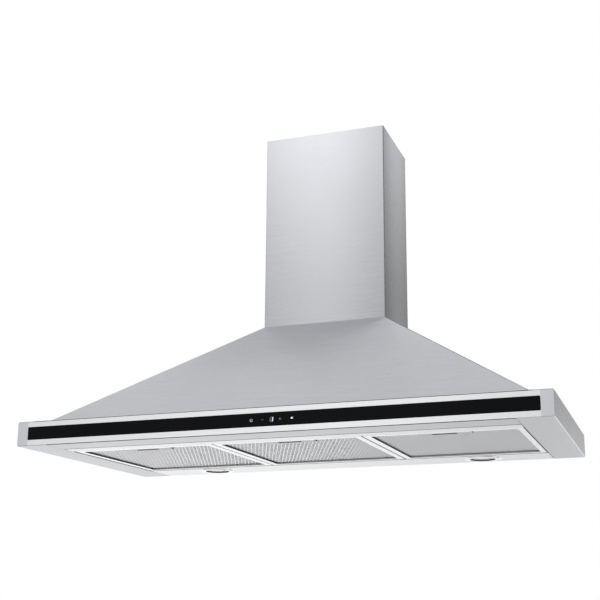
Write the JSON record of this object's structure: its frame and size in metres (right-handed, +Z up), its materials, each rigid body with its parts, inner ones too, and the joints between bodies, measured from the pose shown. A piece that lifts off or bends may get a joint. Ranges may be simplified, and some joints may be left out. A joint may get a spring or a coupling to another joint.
{
  "type": "wall-mounted chimney range hood",
  "caption": "Stainless pyramid canopy with a black glass touch strip, mesh grease filters, two lamps and a telescopic chimney.",
  "frame": {"origin": "middle of the canopy's lower rear edge, on the wall plane", "axes": "+Z up, +Y into the wall, front faces -Y, +X to the cook's right"},
  "size_m": [1, 0.5, 0.7055],
  "materials": {
    "brushed_stainless": "brushed",
    "galvanised_sheet": "satin",
    "filter_aluminium": "satin",
    "latch_grey": "satin",
    "spring_steel": "satin",
    "screw_steel": "satin",
    "motor_steel": "satin",
    "lamp_chrome": "polished",
    "lamp_glass": "frosted",
    "lamp_aluminium": "satin",
    "black_glass": "polished",
    "black_plastic": "satin",
    "white_plastic": "satin",
    "duct_plastic": "satin",
    "board_green": "satin",
    "display_white": "glossy"
  },
  "bodies": {
    "canopy": {"front_slope": "brushed_stainless", "left_slope": "brushed_stainless", "right_slope": "brushed_stainless", "canopy_back": "brushed_stainless", "front_channel": "brushed_stainless", "left_skirt": "brushed_stainless", "right_skirt": "brushed_stainless", "front_fascia": "brushed_stainless", "front_rail": "brushed_stainless", "lamp_panel": "brushed_stainless", "lower_chimney": "brushed_stainless", "chimney_seat": "galvanised_sheet", "blower_deck": "galvanised_sheet", "motor_bracket": "galvanised_sheet", "blower_scroll": "galvanised_sheet", "blower_cheek_left": "galvanised_sheet", "blower_cheek_right": "galvanised_sheet", "lamp_bezel_left": "lamp_chrome", "lamp_lens_left": "lamp_glass", "lamp_body_left": "lamp_aluminium", "lamp_bezel_right": "lamp_chrome", "lamp_lens_right": "lamp_glass", "lamp_body_right": "lamp_aluminium", "control_glass": "black_glass", "touch_housing": "black_plastic", "touch_board": "board_green", "power_board": "board_green", "touch_springs": "spring_steel", "led_display": "display_white", "rail_screws": "screw_steel", "blower_bolts": "screw_steel", "blower_motor": "motor_steel", "motor_capacitor": "white_plastic", "outlet_collar": "duct_plastic", "damper_pin": "screw_steel", "chimney_guides": "white_plastic", "control_box": "white_plastic", "control_box_lid": "white_plastic", "cable_gland": "black_plastic"},
    "filter_left": {"filter_frame_left": "filter_aluminium", "filter_mesh_left": "filter_aluminium", "latch_bezel_left": "latch_grey", "latch_springs_left": "spring_steel"},
    "latch_left": {"latch_slider_left": "latch_grey"},
    "filter_middle": {"filter_frame_middle": "filter_aluminium", "filter_mesh_middle": "filter_aluminium", "latch_bezel_middle": "latch_grey", "latch_springs_middle": "spring_steel"},
    "latch_middle": {"latch_slider_middle": "latch_grey"},
    "filter_right": {"filter_frame_right": "filter_aluminium", "filter_mesh_right": "filter_aluminium", "latch_bezel_right": "latch_grey", "latch_springs_right": "spring_steel"},
    "latch_right": {"latch_slider_right": "latch_grey"},
    "impeller": {"impeller_wheel": "galvanised_sheet", "impeller_shaft": "screw_steel"},
    "flap_front": {"damper_flap_front": "duct_plastic"},
    "flap_rear": {"damper_flap_rear": "duct_plastic"},
    "upper_stack": {"upper_chimney": "brushed_stainless", "upper_bracket": "galvanised_sheet"}
  },
  "joints": [
    {"name": "filter_left_swing", "type": "hinge", "parent": "canopy", "child": "filter_left", "pos_m": [-0.2915, -0.0876, 0.0007], "axis": [1, 0, 0], "range_deg": [0, 75]},
    {"name": "latch_left_slide", "type": "slide", "parent": "filter_left", "child": "latch_left", "axis": [0, 1, 0], "range_m": [0, 0.0065], "stiffness_N_per_m": 150, "springref_m": -0.01, "deforming": ["latch_springs_left"]},
    {"name": "filter_middle_swing", "type": "hinge", "parent": "canopy", "child": "filter_middle", "pos_m": [0, -0.0876, 0.0007], "axis": [1, 0, 0], "range_deg": [0, 75]},
    {"name": "latch_middle_slide", "type": "slide", "parent": "filter_middle", "child": "latch_middle", "axis": [0, 1, 0], "range_m": [0, 0.0065], "stiffness_N_per_m": 150, "springref_m": -0.01, "deforming": ["latch_springs_middle"]},
    {"name": "filter_right_swing", "type": "hinge", "parent": "canopy", "child": "filter_right", "pos_m": [0.2915, -0.0876, 0.0007], "axis": [1, 0, 0], "range_deg": [0, 75]},
    {"name": "latch_right_slide", "type": "slide", "parent": "filter_right", "child": "latch_right", "axis": [0, 1, 0], "range_m": [0, 0.0065], "stiffness_N_per_m": 150, "springref_m": -0.01, "deforming": ["latch_springs_right"]},
    {"name": "impeller_spin", "type": "hinge", "parent": "canopy", "child": "impeller", "pos_m": [0, -0.15, 0.165], "axis": [1, 0, 0], "continuous": true},
    {"name": "flap_front_lift", "type": "hinge", "parent": "canopy", "child": "flap_front", "pos_m": [0, -0.092, 0.3], "axis": [-1, 0, 0], "range_deg": [0, 75]},
    {"name": "flap_rear_lift", "type": "hinge", "parent": "canopy", "child": "flap_rear", "pos_m": [0, -0.092, 0.3], "axis": [1, 0, 0], "range_deg": [0, 75]},
    {"name": "upper_stack_slide", "type": "slide", "parent": "canopy", "child": "upper_stack", "axis": [0, 0, 1], "range_m": [0, 0.37]}
  ]
}
